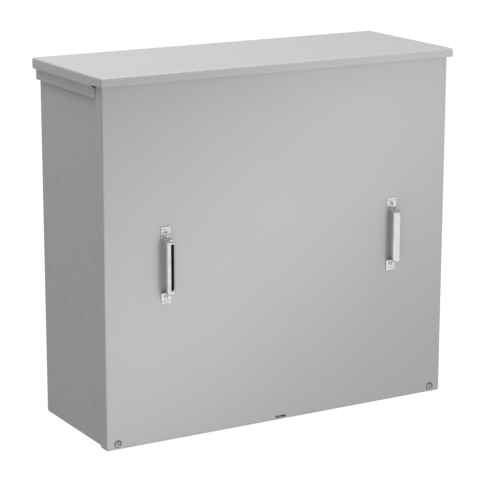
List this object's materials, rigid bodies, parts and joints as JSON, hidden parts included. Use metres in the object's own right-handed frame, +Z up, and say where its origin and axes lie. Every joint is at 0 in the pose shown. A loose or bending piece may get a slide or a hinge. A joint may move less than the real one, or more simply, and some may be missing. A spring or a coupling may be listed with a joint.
{
  "type": "subpanel enclosure",
  "caption": "Rainproof grey sheet-steel electrical enclosure with a drip cap, a screw-down lift-off cover with two chromed pull handles, and a subpanel inside.",
  "frame": {"origin": "centre of the bounding box, at the level the cabinet stands on", "axes": "+X to the right seen from the front, +Y from the cover to the back, +Z up"},
  "size_m": [0.8268, 0.3326, 0.758],
  "materials": {
    "grey_paint": "light grey powder coat, fine orange peel, satin",
    "chrome_plate": "bright chrome plate on stamped steel",
    "zinc_plate": "clear zinc plate, slightly dull",
    "galvanized_sheet": "hot-dip galvanized, faint spangle",
    "seal_rubber": "black rubber, matt"
  },
  "bodies": {
    "cabinet": {"top_cap": "grey_paint", "back_panel": "grey_paint", "bottom_panel": "grey_paint", "header_rail": "grey_paint", "left_side_panel": "grey_paint", "right_side_panel": "grey_paint", "left_corner_nut": "zinc_plate", "right_corner_nut": "zinc_plate", "subpanel": "galvanized_sheet", "ground_stud": "zinc_plate", "ground_nut": "zinc_plate", "subpanel_stud_lower_left": "zinc_plate", "subpanel_nut_lower_left": "zinc_plate", "subpanel_stud_lower_right": "zinc_plate", "subpanel_nut_lower_right": "zinc_plate", "subpanel_stud_upper_left": "zinc_plate", "subpanel_nut_upper_left": "zinc_plate", "subpanel_stud_upper_right": "zinc_plate", "subpanel_nut_upper_right": "zinc_plate"},
    "cover": {"cover_panel": "grey_paint", "left_handle": "chrome_plate", "left_handle_upper_screw": "chrome_plate", "left_handle_upper_nut": "zinc_plate", "left_handle_lower_screw": "chrome_plate", "left_handle_lower_nut": "zinc_plate", "right_handle": "chrome_plate", "right_handle_upper_screw": "chrome_plate", "right_handle_upper_nut": "zinc_plate", "right_handle_lower_screw": "chrome_plate", "right_handle_lower_nut": "zinc_plate"},
    "left_washer": {"left_corner_washer": "seal_rubber"},
    "left_screw": {"left_corner_screw": "zinc_plate"},
    "right_washer": {"right_corner_washer": "seal_rubber"},
    "right_screw": {"right_corner_screw": "zinc_plate"}
  },
  "joints": [
    {"name": "cover_swing", "type": "hinge", "parent": "cabinet", "child": "cover", "pos_m": [0, -0.13275, 0.741], "axis": [-1, 0, 0], "range_deg": [0, 25]},
    {"name": "left_screw_travel", "type": "slide", "parent": "cover", "child": "left_washer", "axis": [0, -1, 0], "range_m": [0, 0.00762]},
    {"name": "left_screw_turn", "type": "hinge", "parent": "left_washer", "child": "left_screw", "pos_m": [-0.381, -0.13675, 0.014], "axis": [0, -1, 0], "range_deg": [0, 2165]},
    {"name": "right_screw_travel", "type": "slide", "parent": "cover", "child": "right_washer", "axis": [0, -1, 0], "range_m": [0, 0.00762]},
    {"name": "right_screw_turn", "type": "hinge", "parent": "right_washer", "child": "right_screw", "pos_m": [0.381, -0.13675, 0.014], "axis": [0, -1, 0], "range_deg": [0, 2165]}
  ],
  "couplings": [
    {"joint": "left_screw_turn", "follows": "left_screw_travel", "rad_per_m": 4947.4},
    {"joint": "right_screw_turn", "follows": "right_screw_travel", "rad_per_m": 4947.4}
  ]
}
